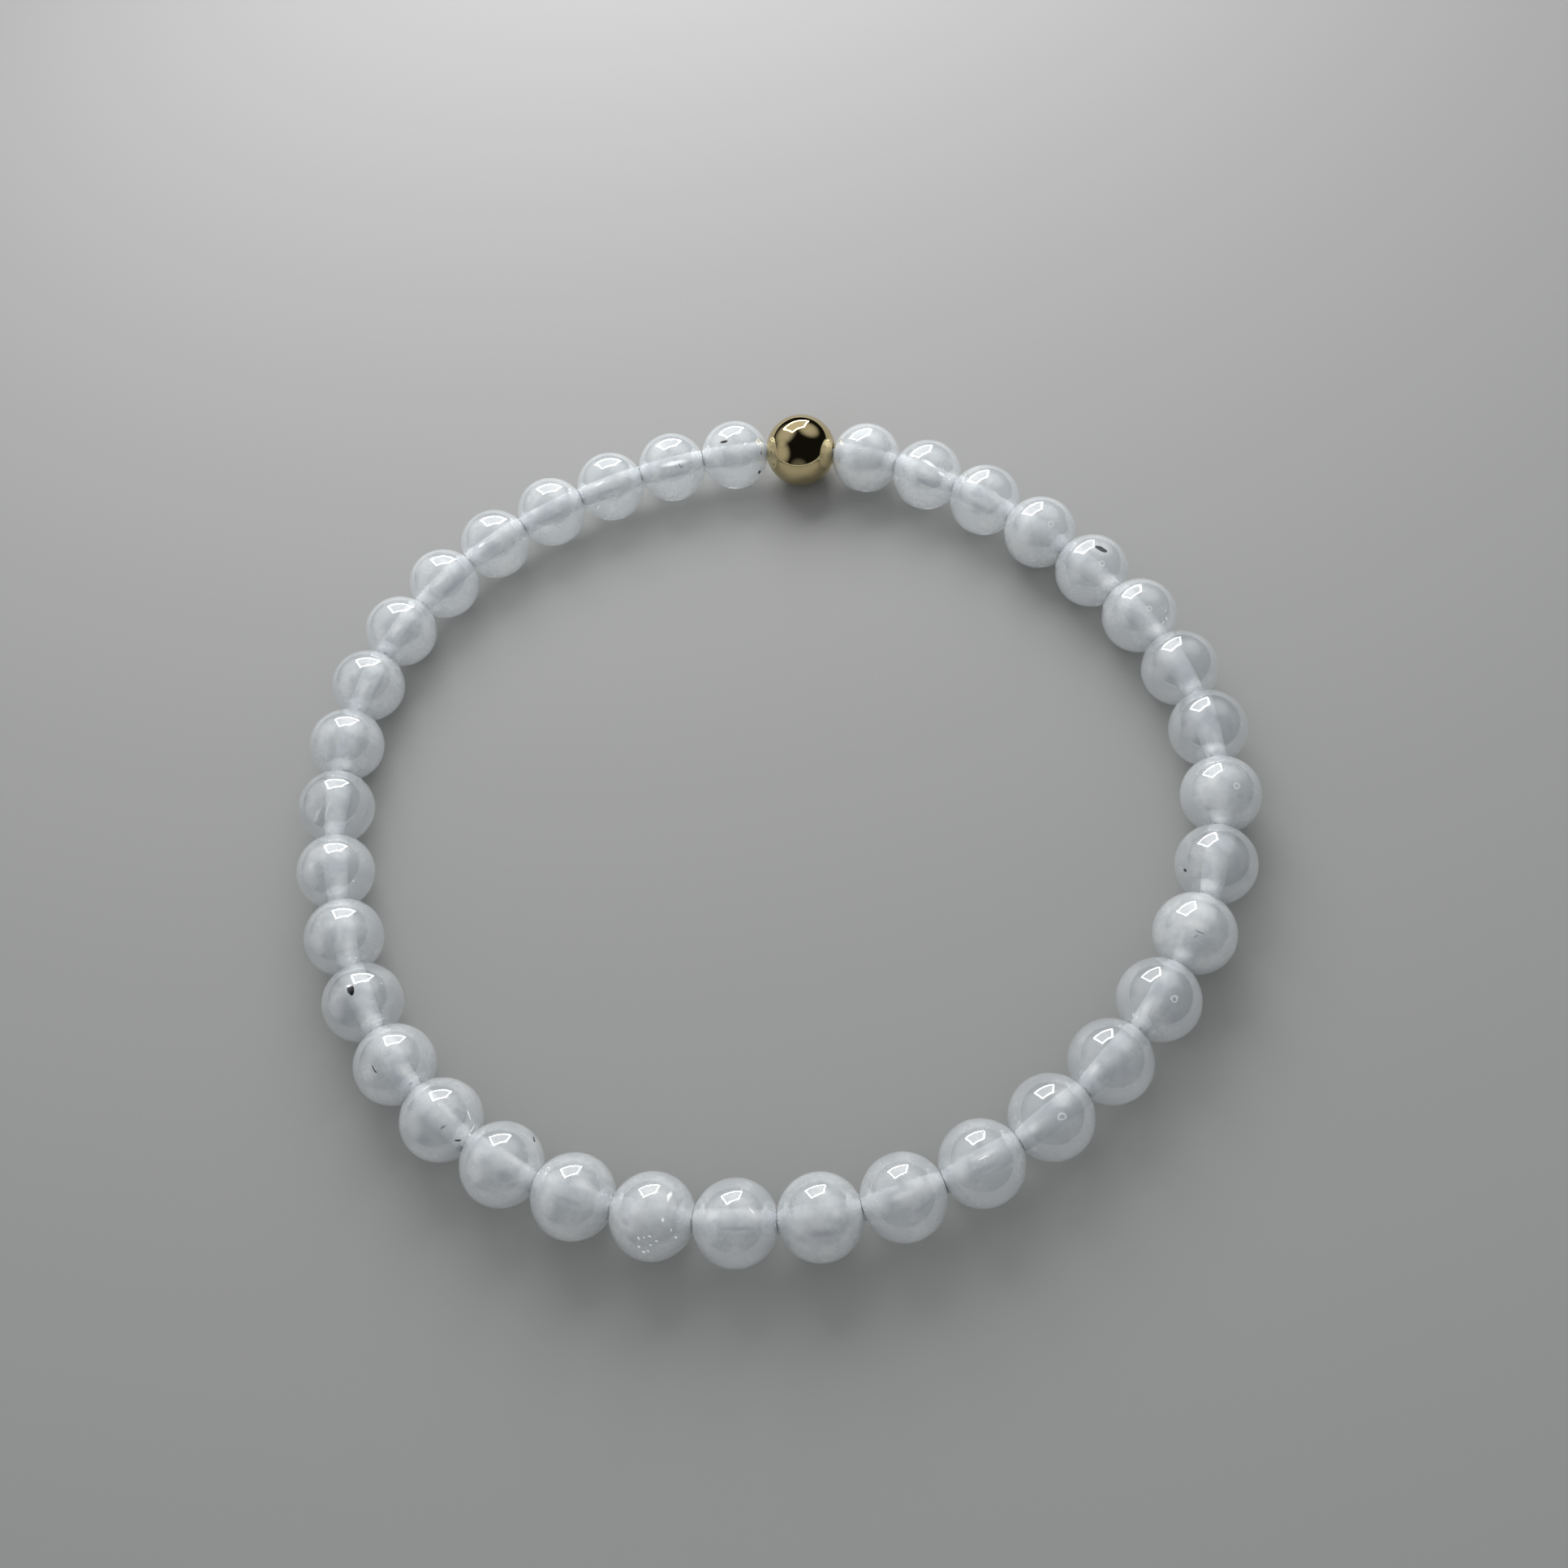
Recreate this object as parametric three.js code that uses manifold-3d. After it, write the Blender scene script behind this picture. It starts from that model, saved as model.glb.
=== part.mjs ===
// Moonstone stretch bracelet: 36 drilled moonstone beads and one hollow gold bead,
// side by side on a closed elastic thread whose knot sits inside the gold bead.
// Millimetres, +Z up. The bracelet lies flat on z = 0, with its origin under the middle
// of its box and the gold bead on its +Y side.
import * as THREE from "three";
import { mergeVertices } from "three/addons/utils/BufferGeometryUtils.js";
import Module from "manifold-3d";

// ---------- driving dimensions ----------
const MOONSTONE_COUNT = 36;
const MOONSTONE_PITCH = 4.82;        // along the thread, from one bead's middle to the next
const MOONSTONE = {
  diameter: 5.0,
  length: 4.5,                       // between the two flats round the drill hole
  hole: 1.0,
};

const GOLD_PITCH = 5.13;             // the stretch of thread that the gold bead takes up
const GOLD_BEAD = {
  diameter: 5.2,
  length: 4.8,
  hole: 1.4,
  wall: 0.3,
};

const THREAD_DIAMETER = 0.6;
const KNOT = { diameter: 1.7, length: 2.2 };

// How the string lies: a ring with a few soft lobes, as a loose string of beads takes.
// bulge is a share of the mean radius, and angle is where the lobe points, from +X.
const RING_LOBES = [
  { lobes: 2, bulge: 0.022, angle: -7 },
  { lobes: 3, bulge: 0.0115, angle: 7 },
  { lobes: 4, bulge: 0.007, angle: -10 },
  { lobes: 5, bulge: 0.009, angle: 12.5 },
];
const GOLD_ANGLE = 90;               // the gold bead's place on the ring, from +X

// ---------- fineness of the faceted surfaces ----------
const SIDES_ROUND_BEAD = 16;
const STEPS_ALONG_BEAD = 6;             // even, so that a bead is full width at its middle
const SIDES_ROUND_THREAD = 8;
const THREAD_STEPS_PER_BEAD = 3;

// ---------- materials ----------
const moonstone = new THREE.MeshStandardMaterial({ color: 0xc9d2d8, roughness: 0.08, metalness: 0 });
const gold = new THREE.MeshStandardMaterial({ color: 0xd9c08a, roughness: 0.12, metalness: 1 });
const elastic = new THREE.MeshStandardMaterial({ color: 0xe9ebea, roughness: 0.4, metalness: 0 });

// ---------- the ring that the beads lie on ----------
class BeadRing extends THREE.Curve {
  constructor(meanRadius) {
    super();
    this.meanRadius = meanRadius;
    this.arcLengthDivisions = 2000;
  }

  getPoint(t, target = new THREE.Vector3()) {
    const angle = THREE.MathUtils.degToRad(GOLD_ANGLE) - t * 2 * Math.PI;
    let radius = this.meanRadius;
    for (const lobe of RING_LOBES) {
      const peak = THREE.MathUtils.degToRad(lobe.angle);
      radius += this.meanRadius * lobe.bulge * Math.cos(lobe.lobes * (angle - peak));
    }
    return target.set(radius * Math.cos(angle), radius * Math.sin(angle), 0);
  }
}

const threadLength = MOONSTONE_COUNT * MOONSTONE_PITCH + GOLD_PITCH;
const ring = new BeadRing(threadLength / new BeadRing(1).getLength());

// The share of the thread, clockwise from the gold bead, at the middle of moonstone `place`.
function shareOfThread(place) {
  return (GOLD_PITCH / 2 + (place - 0.5) * MOONSTONE_PITCH) / threadLength;
}

// ---------- bead solids, turned about the Y axis, which runs along the hole ----------
// Points on a round outline of the given diameter between the two flats at its ends.
function roundOutline(diameter, length, steps) {
  const radius = diameter / 2;
  const endAngle = Math.asin(length / diameter);
  const points = [];
  for (let i = 0; i <= steps; i += 1) {
    const angle = THREE.MathUtils.lerp(-endAngle, endAngle, i / steps);
    points.push(new THREE.Vector2(radius * Math.cos(angle), radius * Math.sin(angle)));
  }
  return points;
}

// A turned solid: its outline closes on itself, and shared points are merged.
function turned(outline) {
  const closedOutline = [...outline, outline[0].clone()];
  return closedSolid(new THREE.LatheGeometry(closedOutline, SIDES_ROUND_BEAD));
}

function closedSolid(geometry) {
  geometry.deleteAttribute("normal");
  geometry.deleteAttribute("uv");
  const merged = mergeVertices(geometry, 1e-4);
  merged.computeVertexNormals();
  return merged;
}

function moonstoneBead({ diameter, length, hole }) {
  const bore = [
    new THREE.Vector2(hole / 2, length / 2),
    new THREE.Vector2(hole / 2, -length / 2),
  ];
  return turned([...roundOutline(diameter, length, STEPS_ALONG_BEAD), ...bore]);
}

// A thin shell whose rims turn inward round the hole, open at both ends.
function hollowBead({ diameter, length, hole, wall }) {
  const outside = roundOutline(diameter, length, STEPS_ALONG_BEAD);
  const rimTop = new THREE.Vector2(hole / 2, length / 2);
  const rimBottom = new THREE.Vector2(hole / 2, -length / 2);
  const lipTop = new THREE.Vector2(hole / 2, length / 2 - wall);
  const lipBottom = new THREE.Vector2(hole / 2, wall - length / 2);
  const inside = roundOutline(diameter - 2 * wall, length - 2 * wall, STEPS_ALONG_BEAD).reverse();
  return turned([...outside, rimTop, lipTop, ...inside, lipBottom, rimBottom]);
}

// ---------- the elastic thread with its knot ----------
const wasm = await Module();
wasm.setup();

function toManifold(geometry) {
  return new wasm.Manifold(new wasm.Mesh({
    numProp: 3,
    vertProperties: new Float32Array(geometry.attributes.position.array),
    triVerts: new Uint32Array(geometry.index.array),
  }));
}

function fromManifold(solid) {
  const mesh = solid.getMesh();
  const geometry = new THREE.BufferGeometry();
  geometry.setAttribute("position", new THREE.BufferAttribute(mesh.vertProperties, 3));
  geometry.setIndex(new THREE.BufferAttribute(mesh.triVerts, 1));
  geometry.computeVertexNormals();
  return geometry;
}

function elasticThread(beadMiddles) {
  const route = new THREE.CatmullRomCurve3(beadMiddles, true, "centripetal");
  const steps = beadMiddles.length * THREAD_STEPS_PER_BEAD;
  const loop = new THREE.TubeGeometry(route, steps, THREAD_DIAMETER / 2, SIDES_ROUND_THREAD, true);
  const knot = new THREE.SphereGeometry(KNOT.diameter / 2, SIDES_ROUND_BEAD, SIDES_ROUND_THREAD);
  knot.scale(KNOT.length / KNOT.diameter, 1, 1);
  knot.translate(beadMiddles[0].x, beadMiddles[0].y, beadMiddles[0].z);
  return fromManifold(toManifold(closedSolid(loop)).add(toManifold(closedSolid(knot))));
}

// ---------- assembly ----------
const bracelet = new THREE.Group();

function addPiece(name, geometry, material, parent = bracelet) {
  const mesh = new THREE.Mesh(geometry, material);
  mesh.name = name;
  parent.add(mesh);
  return mesh;
}

// A bead rests on z = 0 with its hole along the ring.
function placeBead(mesh, share, diameter) {
  mesh.position.copy(ring.getPointAt(share)).setZ(diameter / 2);
  mesh.quaternion.setFromUnitVectors(new THREE.Vector3(0, 1, 0), ring.getTangentAt(share));
}

const beads = [addPiece("gold_bead", hollowBead(GOLD_BEAD), gold)];
placeBead(beads[0], 0, GOLD_BEAD.diameter);

for (let place = 1; place <= MOONSTONE_COUNT; place += 1) {
  const name = `moonstone_bead_${String(place).padStart(2, "0")}`;
  const bead = addPiece(name, moonstoneBead(MOONSTONE), moonstone);
  placeBead(bead, shareOfThread(place), MOONSTONE.diameter);
  beads.push(bead);
}

addPiece("elastic_thread", elasticThread(beads.map((bead) => bead.position.clone())), elastic);

// The origin goes under the middle of the whole bracelet's box.
const box = new THREE.Box3().setFromObject(bracelet, true);
const middle = box.getCenter(new THREE.Vector3());
bracelet.position.set(-middle.x, -middle.y, -box.min.z);

export default bracelet;
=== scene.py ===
# %% [markdown]
# # A moonstone stretch bracelet
#
# The bracelet is a closed string: moonstone beads side by side on an elastic thread, with
# one polished gold bead among them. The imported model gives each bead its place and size.
# This lesson makes the surfaces that are seen: drilled, polished stone with milk, clouds and
# specks in it, a seamless metal bead, an elastic thread, and the window light they need.

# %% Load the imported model
import math
import random

import bmesh
import bpy
from mathutils import Matrix, Vector


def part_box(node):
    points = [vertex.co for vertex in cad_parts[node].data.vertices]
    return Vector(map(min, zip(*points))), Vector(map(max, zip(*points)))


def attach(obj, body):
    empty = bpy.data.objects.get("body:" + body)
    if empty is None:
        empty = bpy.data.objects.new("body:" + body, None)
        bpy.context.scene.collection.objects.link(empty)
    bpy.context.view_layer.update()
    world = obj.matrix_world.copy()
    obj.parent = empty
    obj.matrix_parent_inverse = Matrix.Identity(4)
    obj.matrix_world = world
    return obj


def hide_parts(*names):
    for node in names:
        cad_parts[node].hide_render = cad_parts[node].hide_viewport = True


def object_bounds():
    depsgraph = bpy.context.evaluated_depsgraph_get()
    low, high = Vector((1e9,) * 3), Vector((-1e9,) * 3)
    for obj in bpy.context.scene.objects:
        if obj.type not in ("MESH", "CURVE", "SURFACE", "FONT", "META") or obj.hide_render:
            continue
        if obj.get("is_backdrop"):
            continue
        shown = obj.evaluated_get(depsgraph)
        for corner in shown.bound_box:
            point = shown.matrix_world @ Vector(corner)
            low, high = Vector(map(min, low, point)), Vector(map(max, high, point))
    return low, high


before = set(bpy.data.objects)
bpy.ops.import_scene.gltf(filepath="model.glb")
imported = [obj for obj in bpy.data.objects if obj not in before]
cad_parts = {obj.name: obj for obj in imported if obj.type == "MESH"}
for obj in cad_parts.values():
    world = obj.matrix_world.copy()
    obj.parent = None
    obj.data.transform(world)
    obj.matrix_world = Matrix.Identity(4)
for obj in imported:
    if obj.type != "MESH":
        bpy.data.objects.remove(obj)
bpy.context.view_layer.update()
MM = 0.001

# %% [markdown]
# ## Where the beads are
#
# Every bead lies with its hole along the ring. A bead's middle is the middle of its box,
# and the hole points from the bead before to the bead after. Reading the places from the
# model, and not typing them in, keeps the looks and the model together.

# %% Bead places round the ring
moonstone_names = sorted(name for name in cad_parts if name.startswith("moonstone_bead_"))
string_order = ["gold_bead"] + moonstone_names


def middle_of(node):
    low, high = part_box(node)
    return (Vector(low) + Vector(high)) / 2


bead_middles = [middle_of(name) for name in string_order]
ring_middle = sum(bead_middles, Vector()) / len(bead_middles)


def bead_place(index):
    """The turn and shift from a bead made at the origin, hole along X, to its place."""
    before = bead_middles[index - 1]
    after = bead_middles[(index + 1) % len(bead_middles)]
    along = (after - before).normalized()
    up = Vector((0, 0, 1))
    outward = up.cross(along)
    turn = Matrix((along, outward, up)).transposed().to_4x4()
    return Matrix.Translation(bead_middles[index]) @ turn


print(len(string_order), "beads; ring middle in mm:", [round(v / MM, 2) for v in ring_middle])

# %% [markdown]
# ## Where the bracelet is looked at from
#
# The camera is made first, because the specks in the stones are charted from its side, as a
# jeweller charts a stone from above. It is close, only one and a half ring widths away, so
# near beads look larger than far ones. It leans a little, so the far side climbs.

# %% Camera
CAMERA_AZIMUTH = math.radians(18.1)
CAMERA_ELEVATION = math.radians(62.1)
CAMERA_LEAN = math.radians(-13.1)
CAMERA_DISTANCE = 90.6 * MM
CAMERA_AIM = Vector((1.5, 0, 2.5)) * MM
CAMERA_LENS = 31.75

view_direction = Vector(
    (
        -math.sin(CAMERA_AZIMUTH) * math.cos(CAMERA_ELEVATION),
        math.cos(CAMERA_AZIMUTH) * math.cos(CAMERA_ELEVATION),
        -math.sin(CAMERA_ELEVATION),
    )
)
level_right = view_direction.cross(Vector((0, 0, 1))).normalized()
level_up = level_right.cross(view_direction)
view_right = level_right * math.cos(CAMERA_LEAN) + level_up * math.sin(CAMERA_LEAN)
view_up = view_right.cross(view_direction)
camera_spot = CAMERA_AIM - view_direction * CAMERA_DISTANCE

camera_data = bpy.data.cameras.new("camera")
camera_data.lens = CAMERA_LENS
camera_data.clip_start = 1 * MM
camera = bpy.data.objects.new("camera", camera_data)
bpy.context.scene.collection.objects.link(camera)
camera_turn = Matrix((view_right, view_up, -view_direction)).transposed().to_4x4()
camera.matrix_world = Matrix.Translation(camera_spot) @ camera_turn
bpy.context.scene.camera = camera
print("camera spot in mm:", [round(v / MM, 1) for v in camera_spot])

# %% [markdown]
# ## Sizes that the beads are made to
#
# The stones are ground round and drilled through. The gold bead is a thin shell, a little
# larger than the stones, so it stands out on the string.

# %% Sizes
low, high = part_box(moonstone_names[0])
STONE_RADIUS = (high[2] - low[2]) / 2
DRILL_RADIUS = 0.5 * MM
low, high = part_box("gold_bead")
GOLD_RADIUS = (high[2] - low[2]) / 2
print("stone radius in mm:", round(STONE_RADIUS / MM, 3), "gold:", round(GOLD_RADIUS / MM, 3))

# %% [markdown]
# ## A drilled bead
#
# A bead could be a boolean of a ball and a rod, but that leaves long thin faces round the
# hole. Here the ball is sliced flat at both ends, the open rims are turned in to the width
# of the hole, and a bore joins them: the same faces that grinding and drilling leave.
# On a tight string the beads wear flat where they press on each other, halfway between
# their middles. So each end is sliced along that middle plane, which leans a little because
# the string is curved. A small bevel rounds the rims, as tumbling does.

# %% Helpers to make and place a piece
BEAD_GAP = 0.03 * MM


def new_piece(name, mesh_bmesh, materials, smooth=True):
    mesh = bpy.data.meshes.new(name)
    mesh_bmesh.to_mesh(mesh)
    mesh_bmesh.free()
    for material in materials:
        mesh.materials.append(material)
    for face in mesh.polygons:
        face.use_smooth = smooth
    piece = bpy.data.objects.new(name, mesh)
    bpy.context.scene.collection.objects.link(piece)
    return piece


def place_piece(piece, place):
    """The piece's place goes into its mesh, so that its object stays at the origin."""
    piece.data.transform(place)
    piece.data.update()


def face_outward(bm):
    """All faces of a closed form turned the same way, with its volume inside them."""
    bmesh.ops.recalc_face_normals(bm, faces=bm.faces)
    if bm.calc_volume(signed=True) < 0:
        bmesh.ops.reverse_faces(bm, faces=bm.faces)


# %% Slice, turn in, bore and bevel


def worn_ends(index):
    """The planes halfway to both neighbours, in the bead's own coordinates: (point, outward)."""
    here = bead_middles[index]
    own = bead_place(index).inverted()
    planes = []
    for other in (bead_middles[index - 1], bead_middles[(index + 1) % len(bead_middles)]):
        outward = (other - here).normalized()
        reach = (other - here).length / 2 - BEAD_GAP / 2
        planes.append((own @ (here + outward * reach), own.to_3x3() @ outward))
    return planes


def drilled_bead(radius, ends, drill_radius, segments=64, rings=44, rounding=0.06 * MM):
    bm = bmesh.new()
    bmesh.ops.create_uvsphere(bm, u_segments=segments, v_segments=rings, radius=radius)
    bmesh.ops.rotate(bm, matrix=Matrix.Rotation(math.pi / 2, 3, "Y"), verts=bm.verts)
    rims = []
    bores = []
    for point, outward in ends:
        everything = bm.verts[:] + bm.edges[:] + bm.faces[:]
        bmesh.ops.bisect_plane(bm, geom=everything, plane_co=point, plane_no=outward, clear_outer=True)
        rim = [e for e in bm.edges if e.is_boundary and e.verts[0].co.x * outward.x > 0]
        rims += rim
        turned_in = bmesh.ops.extrude_edge_only(bm, edges=rim)["geom"]
        bores += [item for item in turned_in if isinstance(item, bmesh.types.BMEdge) and item.is_boundary]
        for vert in [item for item in turned_in if isinstance(item, bmesh.types.BMVert)]:
            side = Vector((0, vert.co.y, vert.co.z)).normalized() * drill_radius
            side.x = outward.dot(point - side) / outward.x
            vert.co = side
    bmesh.ops.bridge_loops(bm, edges=bores)
    bmesh.ops.bevel(
        bm, geom=rims + bores, offset=rounding, segments=3, profile=0.5, affect="EDGES", material=-1
    )
    face_outward(bm)
    return bm


trial = drilled_bead(STONE_RADIUS, worn_ends(5), DRILL_RADIUS)
print("a stone bead has", len(trial.faces), "faces; closed:", all(e.is_manifold for e in trial.edges))
trial.free()

# %% [markdown]
# ## Polished moonstone
#
# Moonstone is a clear feldspar full of fine layers that scatter light. Three things are seen
# in a polished bead: the sharp reflection on its skin, milk in its depth, and the white wall
# of the drill hole, which the round stone magnifies like a lens.
#
# A glass shader alone would leave out the milk, and a plain white one the depth. So light is
# shared out: most goes through the skin into a thin fog that scatters it, and the rest is
# thrown back by the fine layers under the surface. A coat on top keeps the reflection sharp
# while the light that enters is a little blurred. Shadow rays may pass the skin, or no lamp
# would reach the fog and the drill hole, and the shadow on the floor would be black.

# %% Node helpers


def clean_material(name):
    material = bpy.data.materials.new(name)
    material.use_nodes = True
    material.node_tree.nodes.clear()
    return material


def add_node(material, kind, inputs=None, **settings):
    node = material.node_tree.nodes.new(kind)
    for key, value in settings.items():
        setattr(node, key, value)
    for key, value in (inputs or {}).items():
        node.inputs[key].default_value = value
    return node


def wire(material, source, target):
    material.node_tree.links.new(source, target)


def finish_surface(material, shader):
    out = add_node(material, "ShaderNodeOutputMaterial")
    wire(material, shader, out.inputs["Surface"])
    return out


def soft_noise(material, vector, size, detail=3.0, roughness=0.5):
    """Noise whose lumps are about `size` metres across."""
    node = add_node(
        material,
        "ShaderNodeTexNoise",
        {"Scale": 1 / size, "Detail": detail, "Roughness": roughness},
    )
    wire(material, vector, node.inputs["Vector"])
    return node


def ramp(material, value, low, high, start, end):
    """A smooth change from `start` to `end` as value goes from low to high."""
    node = add_node(
        material,
        "ShaderNodeMapRange",
        {"From Min": low, "From Max": high, "To Min": start, "To Max": end},
        interpolation_type="SMOOTHSTEP",
    )
    wire(material, value, node.inputs["Value"])
    return node.outputs["Result"]


def mixed(material, share, first, second, kind="RGBA"):
    """Something between two colours or numbers, each a value or a socket."""
    node = add_node(material, "ShaderNodeMix", data_type=kind)
    wire(material, share, node.inputs["Factor"])
    for socket, value in (("A", first), ("B", second)):
        target = [s for s in node.inputs if s.name == socket and s.enabled][0]
        if isinstance(value, tuple):
            target.default_value = (*value, 1)
        elif isinstance(value, (int, float)):
            target.default_value = value
        else:
            wire(material, value, target)
    return [s for s in node.outputs if s.enabled][0]


# %% [markdown]
# ## Specks, cracks, veils and bubbles
#
# Almost every stone holds something: a dark grain, a healed crack that shines white, a grey
# veil, a small bubble. Each is an oval on the bead, charted across and up from the camera's
# side in bead radii, with its length, width and tilt. A little noise frays its outline. The
# oval only says how strongly the mark shows; its kind says what it does to the stone: its
# colour, how much light it lets pass, and its glint, the light from behind the bead that a
# thin air gap inside turns toward the eye. A surface shader can't gather that light, so the
# glint is painted light, a faint glow of its own: strong in a sparkle, weak in a cloud, none
# in a grain.

# %% Marks
# glint: painted light, a faint glow that stands in for the light a mark throws back
MARK_KINDS = {
    "grain": {"colour": (0.01, 0.01, 0.015), "passing": 0.0, "glint": 0.0, "edge": 0.85},
    "dark_smear": {"colour": (0.22, 0.24, 0.28), "passing": 0.3, "glint": 0.0, "edge": 0.3},
    "crack": {"colour": (1.0, 1.0, 1.0), "passing": 0.3, "glint": 0.55, "edge": 0.2},
    # white clouds: partly the stone's own, partly painted light on the drill hole's lit side and low on a
    # bead
    "white_cloud_and_painted_light": {"colour": (1.0, 1.0, 1.0), "passing": 0.6, "glint": 0.08, "edge": 0.0},
    # grey veils: partly the stone's own, partly painted shade on the drill hole's shaded side and at a
    # bead's edges
    "grey_veil_and_painted_shade": {"colour": (0.70, 0.74, 0.81), "passing": 0.7, "glint": 0.0, "edge": 0.0},
    # a sparkle's white and glow are a painted highlight: flakes that catch the light
    "sparkle": {"colour": (1.0, 1.0, 0.94), "passing": 0.3, "glint": 0.45, "edge": 0.1},
    "bubble": {"colour": (1.0, 1.0, 1.0), "passing": 0.4, "glint": 0.07, "edge": 0.7, "hollow": 0.6},
}


def mark_frame(index, across, up, tilt):
    """The spot on a bead's near side and its axes: along the mark, across it, outward."""
    toward = (camera_spot - bead_middles[index]).normalized()
    side = (view_right - toward * view_right.dot(toward)).normalized()
    top = toward.cross(side)
    outward = side * across + top * up + toward * math.sqrt(1 - across**2 - up**2)
    angle = math.radians(tilt)
    along = side * math.cos(angle) + top * math.sin(angle)
    along = (along - outward * along.dot(outward)).normalized()
    turn = Matrix((along, outward.cross(along), outward)).transposed()
    return bead_middles[index] + outward * STONE_RADIUS, turn


def mark_strength(material, place, index, mark):
    """1 on the mark and 0 away from it, and 0 again in the middle of a hollow one."""
    kind, across, up, length, width, tilt = mark
    spot, turn = mark_frame(index, across, up, tilt)
    own = add_node(
        material,
        "ShaderNodeMapping",
        {
            "Location": spot,
            "Rotation": turn.to_euler(),
            "Scale": (length * MM / 2, width * MM / 2, STONE_RADIUS / 3),
        },
        vector_type="TEXTURE",
    )
    wire(material, place, own.inputs["Vector"])
    reach = add_node(material, "ShaderNodeVectorMath", operation="LENGTH")
    wire(material, own.outputs["Vector"], reach.inputs[0])
    strength = ramp(material, reach.outputs["Value"], MARK_KINDS[kind]["edge"], 1.0, 1.0, 0.0)
    hollow = MARK_KINDS[kind].get("hollow")
    if hollow is None:
        return strength
    ring = add_node(material, "ShaderNodeMath", operation="MULTIPLY")
    wire(material, strength, ring.inputs[0])
    inside = ramp(material, reach.outputs["Value"], 0.6 * hollow, hollow, 0.0, 1.0)
    wire(material, inside, ring.inputs[1])
    return ring.outputs["Value"]


def frayed(material, place, size, reach):
    """The place, pushed about by noise, for outlines that aren't drawn with a compass."""
    push = soft_noise(material, place, size, detail=2).outputs["Color"]
    centred = add_node(material, "ShaderNodeVectorMath", {1: (0.5, 0.5, 0.5)}, operation="SUBTRACT")
    wire(material, push, centred.inputs[0])
    moved = add_node(material, "ShaderNodeVectorMath", operation="MULTIPLY_ADD")
    wire(material, centred.outputs["Vector"], moved.inputs[0])
    moved.inputs[1].default_value = (reach, reach, reach)
    wire(material, place, moved.inputs[2])
    return moved.outputs["Vector"]


# %% [markdown]
# ## Which stone is which
#
# The stones were sorted by a hand, not a machine: some are clear, some milky, some greyish.
# The first table names the sorts and the second says which bead is of another sort than the
# usual one. The third charts the marks, bead by bead, going round from the gold bead:
# kind, across, up, length and width in millimetres, tilt in degrees.

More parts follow.
